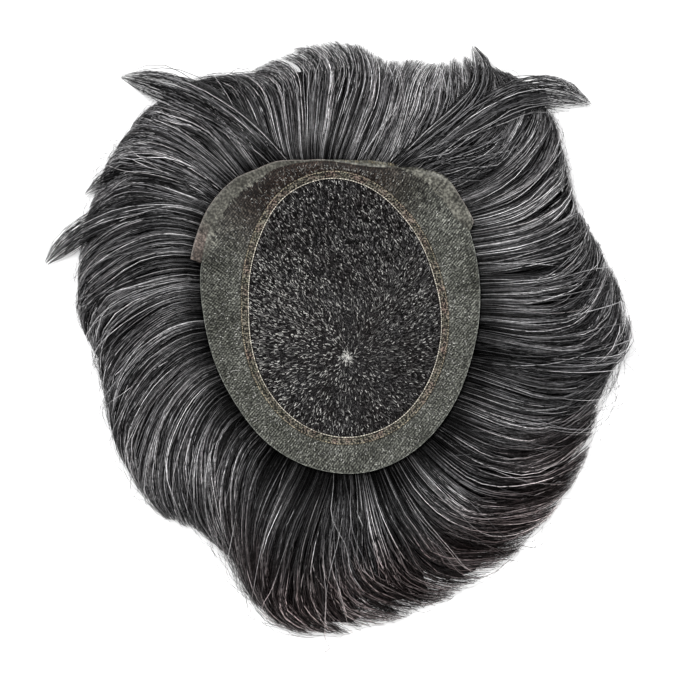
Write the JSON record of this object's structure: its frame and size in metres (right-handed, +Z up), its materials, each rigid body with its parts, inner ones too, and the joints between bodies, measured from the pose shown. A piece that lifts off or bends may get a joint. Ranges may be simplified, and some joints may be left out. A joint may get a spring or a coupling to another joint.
{
  "type": "toupee hairpiece",
  "caption": "Men's toupee lying on its wavy salt-and-pepper hair, with the net base, its clear border and the front strip facing up.",
  "frame": {"origin": "on the surface that the hair lies on, under the middle of the whole", "axes": "+Z up, away from the surface and out of the hollow of the base; +Y towards the front hairline; +X to the right as seen from above"},
  "size_m": [0.4118, 0.4224, 0.0491],
  "materials": {
    "net": "fine dark lace with the hair knotted through it",
    "border": "translucent grey-green skin over gauze",
    "tape": "narrow woven tape with a gold stitch row",
    "strip": "thin clear film",
    "hair": "glossy wavy strands, mostly near black, about a quarter grey"
  },
  "bodies": {
    "root": {"crown_net": "net", "border": "border", "seam_tape": "tape", "front_strip": "strip", "crown_hair": "hair", "front_right_hair": "hair", "front_wave_hair": "hair", "front_left_hair": "hair", "left_hair": "hair", "back_left_hair": "hair", "back_hair": "hair", "back_right_hair": "hair", "right_hair": "hair"}
  },
  "joints": []
}
